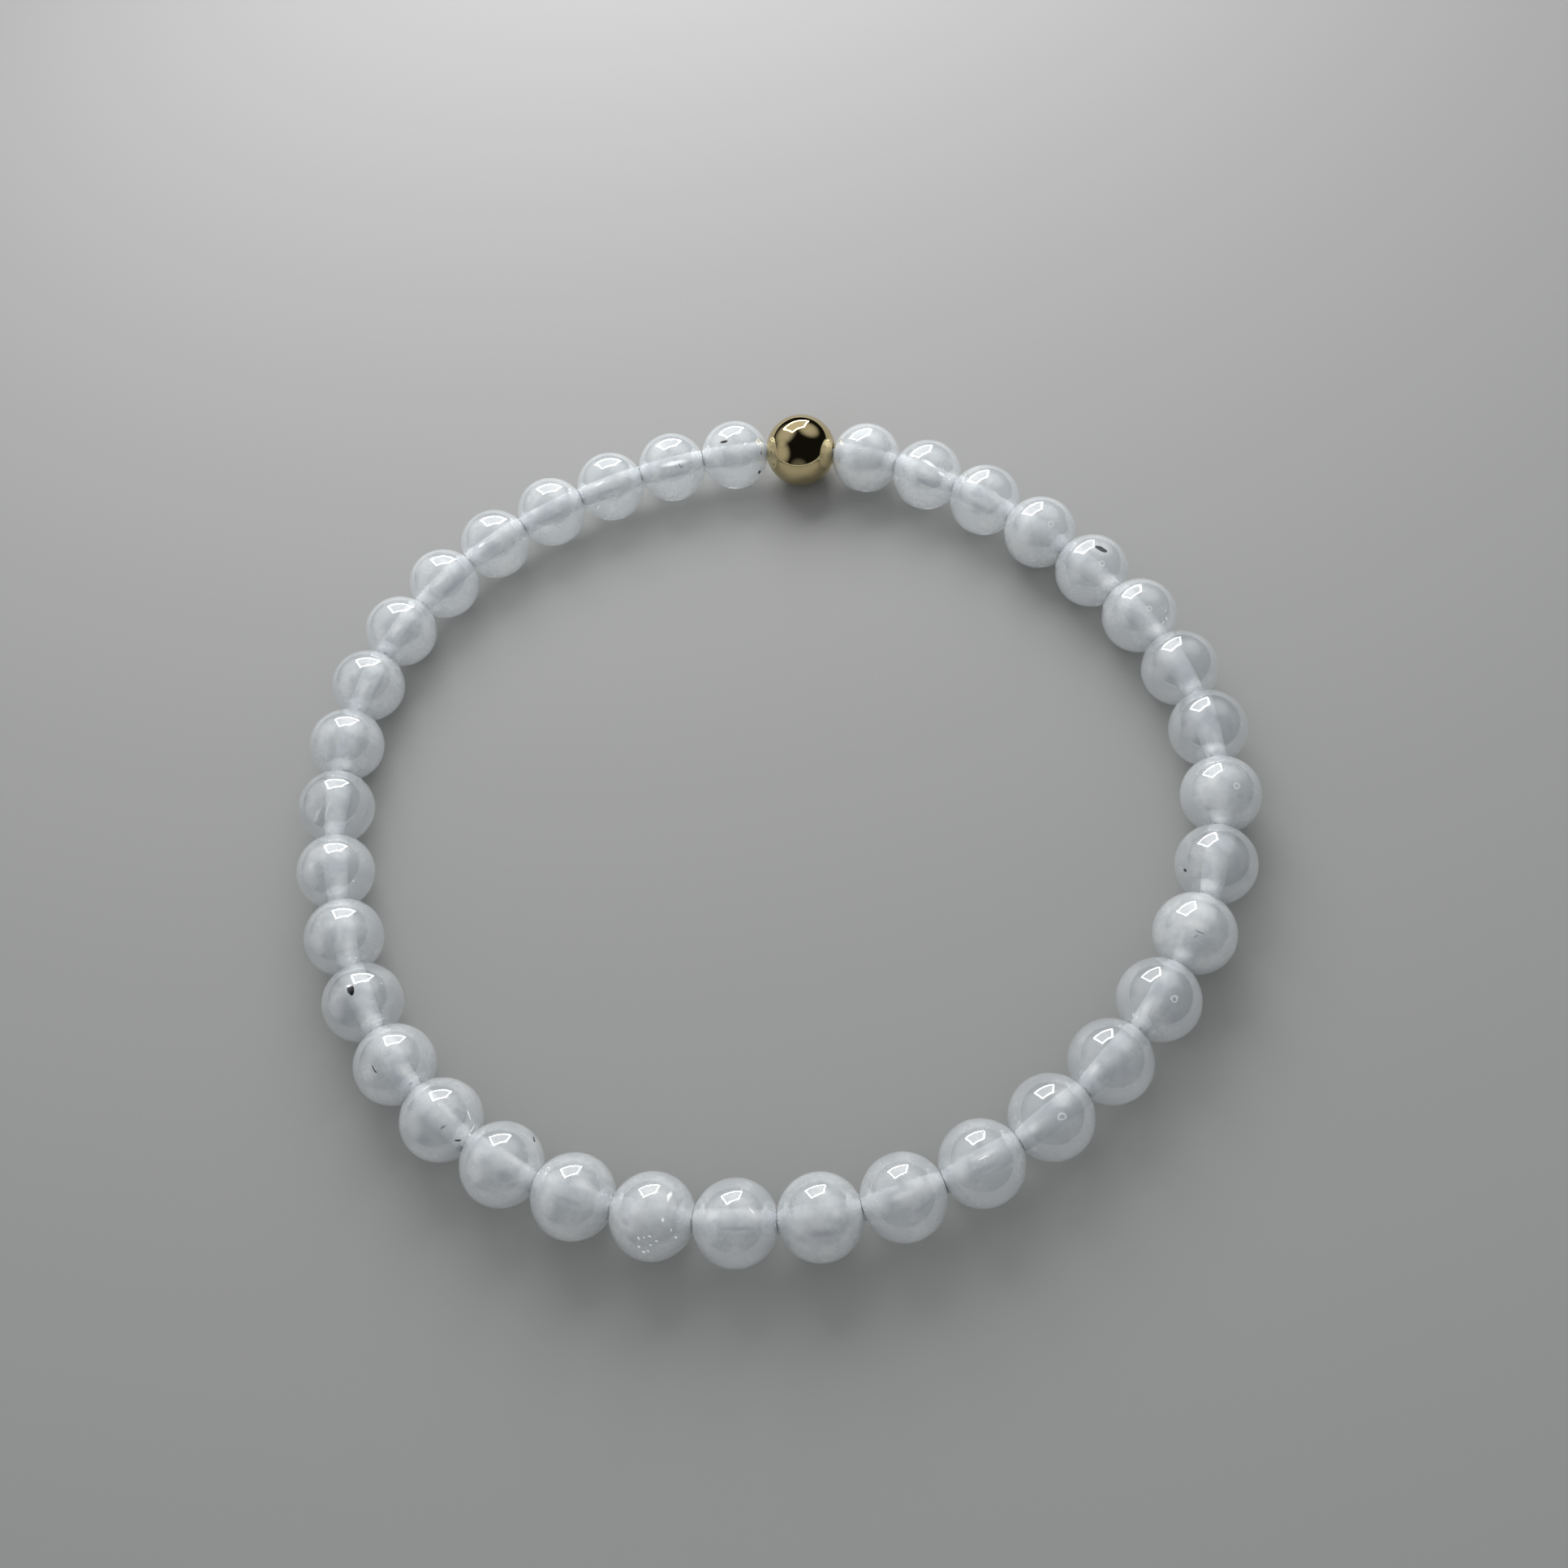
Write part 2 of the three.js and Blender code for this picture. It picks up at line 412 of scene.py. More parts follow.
# %% Sorts of stone and charted marks
STONE_SORTS = {
    "usual": {"tone": 1.0, "fog": 290, "passing": 0.68},
    "clear": {"tone": 1.03, "fog": 230, "passing": 0.70},
    "milky": {"tone": 1.03, "fog": 400, "passing": 0.62},
    "greyish": {"tone": 0.93, "fog": 230, "passing": 0.74},
}
SORT_OF_STONE = {
    **dict.fromkeys((2, 3, 31, 32, 33, 34, 35, 36), "clear"),
    **dict.fromkeys((1, 4, 9, 11, 17, 19, 20), "milky"),
    **dict.fromkeys((7, 8, 10, 12, 13, 14, 24, 27), "greyish"),
}
# Many grey veils below are painted shade, on the drill hole's shaded side and at a bead's edges.
# Many white clouds below are painted light, on the drill hole's lit side and low on a bead.
CHARTED_MARKS = {
    2: [
        ("crack", 0.05, 0.32, 1.5, 0.34, -33),
        ("crack", 0.42, 0.02, 0.9, 0.30, -30),
        ("white_cloud_and_painted_light", -0.05, 0.08, 2.9, 0.75, -24),
        ("grey_veil_and_painted_shade", -0.02, -0.22, 3.2, 0.55, -24),
    ],
    3: [("bubble", 0.21, 0.16, 0.62, 0.58, 0), ("white_cloud_and_painted_light", -0.1, -0.05, 3.0, 0.8, -26)],
    4: [("bubble", 0.30, 0.22, 0.55, 0.50, 0)],
    5: [
        ("white_cloud_and_painted_light", 0.35, -0.25, 1.6, 1.1, -20),
        ("bubble", 0.27, 0.19, 0.50, 0.46, 0),
        ("grain", 0.24, 0.58, 0.95, 0.42, -28),
    ],
    6: [
        ("sparkle", 0.68, 0.13, 0.26, 0.14, 60),
        ("sparkle", 0.70, -0.08, 0.16, 0.42, 10),
        ("sparkle", 0.62, -0.18, 0.30, 0.14, 30),
        ("white_cloud_and_painted_light", 0.42, -0.30, 0.9, 0.9, 0),
        ("bubble", 0.25, 0.17, 0.50, 0.46, 0),
    ],
    8: [
        ("white_cloud_and_painted_light", 0.10, -0.50, 1.1, 0.9, 0),
        ("grey_veil_and_painted_shade", 0.52, 0.20, 0.7, 2.4, 8),
        ("grey_veil_and_painted_shade", -0.55, 0.15, 0.8, 2.0, 10),
    ],
    9: [("white_cloud_and_painted_light", 0.0, -0.60, 1.1, 0.8, 0), ("bubble", 0.38, 0.22, 0.50, 0.50, 0)],
    10: [
        ("grain", -0.72, -0.14, 0.28, 0.26, 0),
        ("grey_veil_and_painted_shade", 0.25, 0.55, 1.2, 1.0, -60),
        ("grey_veil_and_painted_shade", 0.48, 0.05, 0.8, 2.6, 0),
        ("white_cloud_and_painted_light", -0.08, -0.55, 1.2, 1.1, 0),
    ],
    11: [
        ("white_cloud_and_painted_light", 0.05, 0.22, 2.0, 1.1, -20),
        ("dark_smear", 0.12, 0.02, 0.9, 0.12, -35),
        ("dark_smear", 0.02, -0.08, 0.5, 0.10, 40),
        ("white_cloud_and_painted_light", -0.28, -0.50, 0.9, 1.1, 0),
    ],
    12: [
        ("grey_veil_and_painted_shade", 0.32, -0.45, 1.2, 1.6, -30),
        ("white_cloud_and_painted_light", -0.30, -0.20, 0.8, 2.4, 155),
        ("bubble", 0.34, 0.02, 0.55, 0.50, 0),
    ],
    13: [("grey_veil_and_painted_shade", 0.25, -0.15, 1.5, 1.9, 30), ("white_cloud_and_painted_light", -0.40, -0.20, 2.6, 0.5, 42)],
    14: [
        ("white_cloud_and_painted_light", -0.45, -0.25, 1.5, 0.9, 35),
        ("grey_veil_and_painted_shade", 0.30, 0.0, 2.0, 0.6, 30),
        ("bubble", 0.23, 0.01, 0.60, 0.52, 20),
    ],
    15: [
        ("white_cloud_and_painted_light", 0.05, 0.18, 3.0, 0.45, 22),
        ("grey_veil_and_painted_shade", 0.10, -0.10, 3.0, 0.5, 22),
        ("crack", 0.05, 0.12, 0.9, 0.10, 25),
    ],
    16: [("grey_veil_and_painted_shade", 0.40, -0.22, 1.6, 0.5, 30), ("white_cloud_and_painted_light", 0.0, 0.05, 2.4, 0.6, 20)],
    17: [
        ("white_cloud_and_painted_light", -0.30, 0.05, 1.1, 0.9, 10),
        ("white_cloud_and_painted_light", 0.35, 0.10, 1.2, 0.8, -10),
        ("grey_veil_and_painted_shade", 0.05, -0.35, 2.6, 0.7, 0),
    ],
    18: [
        ("white_cloud_and_painted_light", 0.40, 0.18, 1.3, 0.8, -35),
        ("white_cloud_and_painted_light", -0.50, 0.15, 1.2, 0.7, 0),
        ("grey_veil_and_painted_shade", 0.0, -0.12, 3.0, 0.35, 0),
        ("crack", 0.35, 0.25, 0.7, 0.09, -50),
    ],
    19: [
        ("crack", 0.36, 0.42, 0.28, 1.00, -22),
        ("sparkle", 0.23, -0.08, 0.22, 0.34, 20),
        ("sparkle", 0.53, -0.45, 0.20, 0.30, 60),
        ("sparkle", 0.42, -0.30, 0.16, 0.26, -20),
        ("white_cloud_and_painted_light", 0.45, 0.25, 1.1, 1.3, 0),
        ("white_cloud_and_painted_light", -0.35, 0.10, 1.3, 0.9, 0),
        ("grey_veil_and_painted_shade", -0.60, -0.12, 1.1, 0.6, -20),
    ],
    20: [("white_cloud_and_painted_light", 0.30, 0.22, 2.6, 0.9, -24), ("grey_veil_and_painted_shade", -0.1, -0.10, 2.0, 0.5, -20)],
    21: [
        ("grain", 0.70, 0.57, 0.20, 0.50, 12),
        ("grey_veil_and_painted_shade", 0.05, -0.25, 1.5, 1.1, 0),
        ("white_cloud_and_painted_light", 0.35, 0.05, 2.4, 0.7, -28),
    ],
    22: [
        ("grain", 0.40, -0.47, 0.50, 0.17, -10),
        ("dark_smear", 0.04, -0.17, 0.55, 0.20, 50),
        ("crack", 0.62, 0.10, 0.9, 0.10, -60),
        ("crack", 0.72, -0.20, 0.7, 0.12, 40),
        ("white_cloud_and_painted_light", 0.20, 0.12, 1.4, 0.6, -50),
        ("grey_veil_and_painted_shade", -0.35, -0.45, 1.8, 1.2, -20),
    ],
    23: [
        ("grain", -0.48, -0.11, 0.62, 0.10, -52),
        ("white_cloud_and_painted_light", 0.25, -0.15, 1.5, 1.1, -30),
        ("dark_smear", 0.38, -0.45, 0.35, 0.12, 30),
    ],
    24: [
        ("grain", -0.31, 0.30, 0.46, 0.78, 28),
        ("crack", -0.36, 0.40, 0.5, 0.24, 0),
        ("grey_veil_and_painted_shade", -0.50, -0.20, 1.2, 2.4, 20),
        ("white_cloud_and_painted_light", 0.20, -0.30, 1.0, 2.4, 25),
        ("sparkle", 0.42, 0.47, 0.24, 0.07, -45),
    ],
    25: [("white_cloud_and_painted_light", 0.12, -0.25, 0.8, 2.4, 0), ("grey_veil_and_painted_shade", -0.25, 0.05, 0.7, 1.8, 0)],
    26: [
        ("white_cloud_and_painted_light", 0.05, -0.45, 1.1, 1.6, 0),
        ("crack", 0.42, -0.25, 0.30, 0.06, 10),
        ("white_cloud_and_painted_light", -0.62, 0.15, 0.6, 0.8, 0),
    ],
    27: [
        ("white_cloud_and_painted_light", -0.48, -0.15, 0.35, 2.2, -22),
        ("white_cloud_and_painted_light", -0.25, -0.10, 0.25, 2.2, -14),
        ("grey_veil_and_painted_shade", 0.32, 0.0, 0.35, 2.6, -14),
    ],
    28: [("white_cloud_and_painted_light", 0.0, -0.55, 0.9, 1.1, 0)],
    29: [("white_cloud_and_painted_light", -0.15, -0.15, 0.9, 2.2, -25), ("grey_veil_and_painted_shade", 0.25, 0.0, 0.5, 2.8, -28)],
    30: [("grey_veil_and_painted_shade", 0.20, 0.05, 0.5, 3.2, -38), ("white_cloud_and_painted_light", -0.15, 0.05, 0.9, 2.2, -38)],
    31: [("white_cloud_and_painted_light", -0.15, 0.05, 0.7, 2.6, -45), ("grey_veil_and_painted_shade", 0.22, -0.05, 0.6, 3.0, -45)],
    32: [("crack", -0.40, -0.02, 0.28, 1.1, -52), ("white_cloud_and_painted_light", -0.15, 0.12, 0.6, 2.2, -52)],
    33: [("grey_veil_and_painted_shade", 0.05, -0.15, 3.4, 0.55, 26), ("white_cloud_and_painted_light", -0.2, -0.45, 2.4, 1.0, 20)],
    34: [
        ("crack", -0.35, 0.08, 1.3, 0.26, 18),
        ("sparkle", -0.38, -0.60, 0.10, 0.46, -40),
        ("sparkle", -0.44, -0.68, 0.10, 0.20, -40),
        ("grey_veil_and_painted_shade", 0.0, -0.12, 3.2, 0.5, 16),
    ],
    35: [
        ("crack", 0.05, 0.12, 2.7, 0.50, 12),
        ("dark_smear", 0.22, 0.06, 0.12, 0.42, 25),
        ("dark_smear", 0.28, 0.02, 0.40, 0.12, 35),
        ("grey_veil_and_painted_shade", 0.0, -0.22, 3.4, 0.5, 10),
    ],
    36: [
        ("grain", -0.32, 0.38, 0.66, 0.22, 4),
        ("grain", 0.72, -0.50, 0.32, 0.38, 10),
        ("dark_smear", 0.78, 0.05, 0.30, 0.45, 0),
        ("crack", 0.30, 0.32, 0.32, 0.10, 40),
    ],
}
print("charted marks:", sum(len(marks) for marks in CHARTED_MARKS.values()))

# %% [markdown]
# ## A burst of sparkles
#
# One stone has a small burst of flakes that catch the light: fine crystals split off inside.
# A few short bright strokes on a rough ring make it, painted highlights with a faint glow,
# scattered by a seeded draw so that they come out the same each time.

# %% Sparkles in bead 19
SPARKLE_COUNT = 9
sparkle_draw = random.Random(19)
sparkles = []
for step in range(SPARKLE_COUNT):
    angle = 2 * math.pi * step / SPARKLE_COUNT + sparkle_draw.uniform(-0.3, 0.3)
    reach = sparkle_draw.uniform(0.10, 0.24)
    across = reach * math.cos(angle) - 0.11
    up = reach * math.sin(angle) - 0.55
    length = sparkle_draw.uniform(0.16, 0.36)
    width = sparkle_draw.uniform(0.12, 0.20)
    sparkles.append(("sparkle", across, up, length, width, sparkle_draw.uniform(-80, 80)))
CHARTED_MARKS[19] += sparkles
print("sparkles:", len(sparkles))

# %% [markdown]
# ## The stone finish, one for each bead
#
# Each bead gets its own finish: the sort of stone sets its tone, its fog and how much light
# passes the skin, and its marks are laid over that one by one. The clouds are noise in the
# stone's own millimetres, so no two beads are alike.

# %% Moonstone
DULL_STONE = (0.84, 0.89, 0.925)
BRIGHT_STONE = (0.93, 0.96, 0.98)
CLOUD_SIZE = 2.0 * MM
CLOUD_EDGE = (0.35, 0.68)
# how far the light let by differs from the sort's, between the clouds and in them
PASSING_CHANGE = (0.08, -0.10)
OUTLINE_FRAY = 0.18 * MM
FOG_COLOUR = (0.975, 0.99, 1.0, 1)
SHADOW_COLOUR = (0.93, 0.945, 0.95, 1)
# colour of the marks' painted glow
GLINT_COLOUR = (0.93, 0.97, 1.0, 1)
STONE_IOR = 1.53
# above the stone's own, because the room that the polish mirrors is dark
POLISH_IOR = 2.3


def toned(colour, tone):
    return tuple(min(1, part * tone) for part in colour)


def moonstone_finish(index):
    """Clouded, polished stone with this bead's own marks, and fog inside."""
    sort = STONE_SORTS[SORT_OF_STONE.get(index, "usual")]
    material = clean_material(f"moonstone_{index:02d}")
    place = add_node(material, "ShaderNodeTexCoord").outputs["Object"]
    clouds = soft_noise(material, place, size=CLOUD_SIZE, detail=3, roughness=0.6).outputs["Fac"]
    dull = toned(DULL_STONE, sort["tone"])
    bright = toned(BRIGHT_STONE, sort["tone"])
    colour = mixed(material, ramp(material, clouds, *CLOUD_EDGE, 0, 1), dull, bright)
    between, in_cloud = (sort["passing"] + change for change in PASSING_CHANGE)
    passing = ramp(material, clouds, *CLOUD_EDGE, between, in_cloud)
    glint = 0.0
    outline = frayed(material, place, size=0.35 * MM, reach=OUTLINE_FRAY)
    for mark in CHARTED_MARKS.get(index, []):
        kind = MARK_KINDS[mark[0]]
        strength = mark_strength(material, outline, index, mark)
        colour = mixed(material, strength, colour, kind["colour"])
        passing = mixed(material, strength, passing, kind["passing"], "FLOAT")
        glint = mixed(material, strength, glint, kind["glint"], "FLOAT")
    stone = add_node(
        material,
        "ShaderNodeBsdfPrincipled",
        {
            "Roughness": 0.12,
            "IOR": STONE_IOR,
            "Specular IOR Level": 0.2,
            "Coat Weight": 1.0,
            "Coat Roughness": 0.03,
            "Coat IOR": POLISH_IOR,
        },
    )
    wire(material, colour, stone.inputs["Base Color"])
    wire(material, passing, stone.inputs["Transmission Weight"])
    # painted light: the marks' glint glows, though the stone is no lamp
    if index in CHARTED_MARKS:
        stone.inputs["Emission Color"].default_value = GLINT_COLOUR
        wire(material, glint, stone.inputs["Emission Strength"])
        material.cycles.emission_sampling = "NONE"
    polish = soft_noise(material, place, size=1.6 * MM, detail=0).outputs["Fac"]
    waves = add_node(material, "ShaderNodeBump", {"Strength": 0.3, "Distance": 0.02 * MM})
    wire(material, polish, waves.inputs["Height"])
    wire(material, waves.outputs["Normal"], stone.inputs["Coat Normal"])
    let_by = add_node(material, "ShaderNodeBsdfTransparent", {"Color": SHADOW_COLOUR})
    skin = add_node(material, "ShaderNodeMixShader")
    kind_of_ray = add_node(material, "ShaderNodeLightPath")
    wire(material, kind_of_ray.outputs["Is Shadow Ray"], skin.inputs["Fac"])
    wire(material, stone.outputs["BSDF"], skin.inputs[1])
    wire(material, let_by.outputs["BSDF"], skin.inputs[2])
    out = finish_surface(material, skin.outputs["Shader"])
    fog = add_node(material, "ShaderNodeVolumeScatter", {"Color": FOG_COLOUR, "Density": sort["fog"]})
    wire(material, fog.outputs["Volume"], out.inputs["Volume"])
    return material


# %% The wall of the drill hole
GROUND_WALL = (0.68, 0.72, 0.76)
CRACKED_WALL = (1.0, 1.0, 1.0)
CRACK_EDGE = (0.35, 0.62)


def drilled_wall_finish():
    """Ground, not polished, so it looks white and frosted, with patches of fine cracks."""
    material = clean_material("frosted_drill_hole")
    place = add_node(material, "ShaderNodeTexCoord").outputs["Object"]
    patches = soft_noise(material, place, size=0.9 * MM, detail=3).outputs["Fac"]
    patchy = mixed(material, ramp(material, patches, *CRACK_EDGE, 0, 1), GROUND_WALL, CRACKED_WALL)
    wall = add_node(material, "ShaderNodeBsdfPrincipled", {"Roughness": 0.85, "IOR": STONE_IOR})
    wire(material, patchy, wall.inputs["Base Color"])
    finish_surface(material, wall.outputs["BSDF"])
    return material


frosted_drill_hole = drilled_wall_finish()

# %% The moonstone beads
# faces nearer than this to the middle of the hole are its wall
BORE_REACH = DRILL_RADIUS + 0.02 * MM
stone_pieces = []
for index in range(1, len(string_order)):
    bead = drilled_bead(STONE_RADIUS, worn_ends(index), DRILL_RADIUS)
    for face in bead.faces:
        middle = face.calc_center_median()
        face.material_index = int(math.hypot(middle.y, middle.z) < BORE_REACH)
    piece = new_piece(f"stone_{index:02d}", bead, [moonstone_finish(index), frosted_drill_hole])
    place_piece(piece, bead_place(index))
    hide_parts(string_order[index])
    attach(piece, "root")
    stone_pieces.append(piece)
print(len(stone_pieces), "stones,", len(stone_pieces[0].data.polygons), "faces each")

# %% [markdown]
# ## The gold bead
#
# A seamless metal bead is drawn from thin tube: a hollow ball whose ends are closed in
# round the hole. Its section is a thin curved wall with rounded rims. Drawing that section
# once and spinning it round the hole gives an even wall, which a pushed-out copy of a ball
# does not.

# %% Gold finish
DEEP_GOLD = (0.65, 0.53, 0.27)
PALE_GOLD = (0.75, 0.63, 0.38)
GOLD_ROUGHNESS = (0.025, 0.08)


def gold_finish():
    """Pale champagne gold: a mirror polish with a faint film where fingers touch it."""
    material = clean_material("polished_champagne_gold")
    place = add_node(material, "ShaderNodeTexCoord").outputs["Object"]
    film = soft_noise(material, place, size=1.6 * MM, detail=4, roughness=0.6).outputs["Fac"]
    metal = add_node(material, "ShaderNodeBsdfPrincipled", {"Metallic": 1.0})
    wire(material, mixed(material, film, DEEP_GOLD, PALE_GOLD), metal.inputs["Base Color"])
    wire(material, ramp(material, film, 0.35, 0.7, *GOLD_ROUGHNESS), metal.inputs["Roughness"])
    finish_surface(material, metal.outputs["BSDF"])
    return material


# %% The gold bead's section
GOLD_WALL = 0.28 * MM
GOLD_HOLE_RADIUS = 0.7 * MM
ARC_STEPS = 40
RIM_STEPS = 8
SPIN_STEPS = 96


def arc(middle_x, middle_y, radius, first, last, steps):
    """Points along a circle's arc, from the first angle to the last."""
    points = []
    for step in range(steps + 1):
        angle = first + (last - first) * step / steps
        points.append((middle_x + radius * math.cos(angle), middle_y + radius * math.sin(angle)))
    return points


def gold_section():
    """The wall's section: outer arc, round rim, inner arc and round rim, x along the hole."""
    rim_radius = GOLD_WALL / 2
    wall_middle = GOLD_RADIUS - rim_radius
    rim_angle = math.asin((GOLD_HOLE_RADIUS + rim_radius) / wall_middle)
    rim_x = wall_middle * math.cos(rim_angle)
    rim_y = wall_middle * math.sin(rim_angle)
    far = math.pi - rim_angle
    points = arc(0, 0, GOLD_RADIUS, rim_angle, far, ARC_STEPS)
    points += arc(-rim_x, rim_y, rim_radius, far, far + math.pi, RIM_STEPS)[1:]
    points += arc(0, 0, GOLD_RADIUS - GOLD_WALL, far, rim_angle, ARC_STEPS)[1:]
    near = math.pi + rim_angle
    points += arc(rim_x, rim_y, rim_radius, near, near + math.pi, RIM_STEPS)[1:-1]
    return points


def spun(section, steps):
    """A closed section spun once round the X axis."""
    bm = bmesh.new()
    verts = [bm.verts.new((x, y, 0)) for x, y in section]
    edges = [bm.edges.new(pair) for pair in zip(verts, verts[1:] + verts[:1])]
    bmesh.ops.spin(
        bm,
        geom=verts + edges,
        cent=(0, 0, 0),
        axis=(1, 0, 0),
        angle=2 * math.pi,
        steps=steps,
        use_merge=True,
    )
    face_outward(bm)
    return bm


# %% The gold bead
gold_bm = spun(gold_section(), SPIN_STEPS)
print("gold wall closed:", all(edge.is_manifold for edge in gold_bm.edges))
gold_bead = new_piece("polished_gold_bead", gold_bm, [gold_finish()])
place_piece(gold_bead, bead_place(0))
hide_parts("gold_bead")
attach(gold_bead, "root")
print("gold bead faces:", len(gold_bead.data.polygons))

# %% [markdown]
# ## The elastic thread
#
# The thread runs inside the beads, and its knot is hidden in the hollow gold bead. Nothing
# of it shows, so the model's own thread stays and only gets its finish: clear elastic that
# has gone whitish along its fibres.

# %% The elastic thread


def elastic_finish():
    material = clean_material("whitish_elastic")
    place = add_node(material, "ShaderNodeTexCoord").outputs["Object"]
    fibres = soft_noise(material, place, size=0.12 * MM, detail=2).outputs["Fac"]
    elastic = add_node(
        material,
        "ShaderNodeBsdfPrincipled",
        {"Roughness": 0.35, "Subsurface Weight": 0.5, "Subsurface Scale": 0.2 * MM},
    )
    whitish = mixed(material, fibres, (0.78, 0.80, 0.80), (0.90, 0.91, 0.90))
    wire(material, whitish, elastic.inputs["Base Color"])
    ribs = add_node(material, "ShaderNodeBump", {"Strength": 0.3, "Distance": 0.03 * MM})
    wire(material, fibres, ribs.inputs["Height"])
    wire(material, ribs.outputs["Normal"], elastic.inputs["Normal"])
    finish_surface(material, elastic.outputs["BSDF"])
    return material


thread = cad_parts["elastic_thread"]
thread.material_slots[0].material = elastic_finish()
print("thread keeps its modelled shape:", len(thread.data.polygons), "faces")

# %% [markdown]
# ## The floor
#
# The floor is plain and pale, and a light grey under the bracelet, so that the stones stay
# the brightest thing in view. It is painted paler further away: painted light that makes up
# for the less light that falls there. A disc from one circle operator is enough, with a matt
# shader, because a glossy floor would mirror the beads.

# %% Floor
FLOOR_RADIUS = 3.0
MAT_RADIUS = 130 * MM
FULL_PAINTED_LIGHT_RADIUS = 330 * MM
MAT_GREY = (0.36, 0.36, 0.355)
# far out the floor is painted paler: painted light for the less light that falls there
FAR_FLOOR_PAINTED_LIGHT = (0.86, 0.86, 0.85)
floor_bm = bmesh.new()
bmesh.ops.create_circle(floor_bm, cap_ends=True, segments=96, radius=FLOOR_RADIUS)
pale_floor = clean_material("pale_floor")
floor_place = add_node(pale_floor, "ShaderNodeTexCoord").outputs["Object"]
floor_reach = add_node(pale_floor, "ShaderNodeVectorMath", operation="LENGTH")
wire(pale_floor, floor_place, floor_reach.inputs[0])
# painted light: the floor turns paler further out, where less light falls on it
away = ramp(pale_floor, floor_reach.outputs["Value"], MAT_RADIUS, FULL_PAINTED_LIGHT_RADIUS, 0, 1)
matt = add_node(pale_floor, "ShaderNodeBsdfDiffuse")
wire(pale_floor, mixed(pale_floor, away, MAT_GREY, FAR_FLOOR_PAINTED_LIGHT), matt.inputs["Color"])
finish_surface(pale_floor, matt.outputs["BSDF"])
floor = new_piece("floor", floor_bm, [pale_floor], smooth=False)
floor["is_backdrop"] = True
print("floor in m:", 2 * FLOOR_RADIUS, "across")

# %% [markdown]
# ## The window
#
# All of the shaped light comes from one window, beyond the far side of the ring and about as
# high as it is far. The stones are lit from behind, which is what makes them glow. A sun
# would give hard shadows and small lamps grainy ones, so the window is one area lamp, as
# large as the window looks from the ring. Its four corners are given as directions from the
# ring's middle, and its width, height and turn follow from them.

# %% Window lamp
WINDOW_DISTANCE = 180 * MM
WINDOW_LIGHT = 6.6
# lower left, upper left, upper right and lower right: azimuth and elevation in degrees
WINDOW_ANGLES = ((132, 23), (127, 56), (79, 42), (81, 12.5))


def from_ring(azimuth, elevation):
    """The direction from the ring's middle at these angles in degrees, from +X and the floor."""
    azimuth = math.radians(azimuth)
    elevation = math.radians(elevation)
    level = math.cos(elevation)
    return Vector((level * math.cos(azimuth), level * math.sin(azimuth), math.sin(elevation)))


window_corners = [ring_middle + from_ring(*angles) * WINDOW_DISTANCE for angles in WINDOW_ANGLES]
lower_left, upper_left, upper_right, lower_right = window_corners
window_middle = sum(window_corners, Vector()) / len(window_corners)
backward = (window_middle - ring_middle).normalized()
across = (upper_right + lower_right - upper_left - lower_left) / 2
right = (across - backward * across.dot(backward)).normalized()
window_height = ((upper_left - lower_left).length + (upper_right - lower_right).length) / 2

window_light = bpy.data.lights.new("window_light", "AREA")
window_light.shape = "RECTANGLE"
window_light.size = across.length
window_light.size_y = window_height
window_light.energy = WINDOW_LIGHT * across.length * window_height * math.pi
window_lamp = bpy.data.objects.new("window_lamp", window_light)
bpy.context.scene.collection.objects.link(window_lamp)
window_turn = Matrix((right, backward.cross(right), backward)).transposed().to_4x4()
window_lamp.matrix_world = Matrix.Translation(window_middle) @ window_turn
window_lamp.visible_camera = False
window_lamp.visible_glossy = False
print("window in mm:", round(across.length / MM), "by", round(window_height / MM))

# %% [markdown]
# ## What the polish reflects
#
# A polished bead is a small curved mirror, and what it shows tells the eye that it is
# polished. The lamp itself would show as an even white patch. So the window is made once
# more as a shape that only reflections see, a dim pane in a bright frame. The frame is inset
# from the pane's own outline. The room is such a shape too: a dark dome with a few paler
# walls. Without it the gold would mirror an empty sky and look like pale brass. Neither
# shape lights anything, so they cost almost no time.

# %% The window's shape in reflections
WINDOW_RIM = 9 * MM
FRAME_BRIGHTNESS = 15
PANE_BRIGHTNESS = 0.7


def glowing(name, strength):
    material = clean_material(name)
    glow = add_node(material, "ShaderNodeEmission", {"Color": (1, 1, 1, 1), "Strength": strength})
    finish_surface(material, glow.outputs["Emission"])
    material.cycles.emission_sampling = "NONE"
    return material


def only_reflected(piece):
    for kind_of_ray in ("camera", "diffuse", "transmission", "volume_scatter", "shadow"):
        setattr(piece, "visible_" + kind_of_ray, False)
    piece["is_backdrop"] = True


window_bm = bmesh.new()
pane = window_bm.faces.new([window_bm.verts.new(corner) for corner in window_corners])
window_bm.normal_update()
bmesh.ops.inset_individual(window_bm, faces=[pane], thickness=WINDOW_RIM)
pane.material_index = 1
frame_share = 1 - pane.calc_area() / sum(face.calc_area() for face in window_bm.faces)
window_finishes = [glowing("bright_frame", FRAME_BRIGHTNESS), glowing("dim_pane", PANE_BRIGHTNESS)]
reflected_window = new_piece("reflected_window", window_bm, window_finishes, smooth=False)
only_reflected(reflected_window)
print("share of the window that is frame:", round(frame_share, 2))

# %% The room in reflections
ROOM_RADIUS = 0.5
ROOM_DARK = 0.008
# each wall: azimuth, elevation and reach in degrees, and how bright its middle is
ROOM_WALLS = ((150, 40, 38, 0.5), (205, 20, 35, 0.45), (60, 45, 32, 0.5), (270, 0, 30, 0.12))


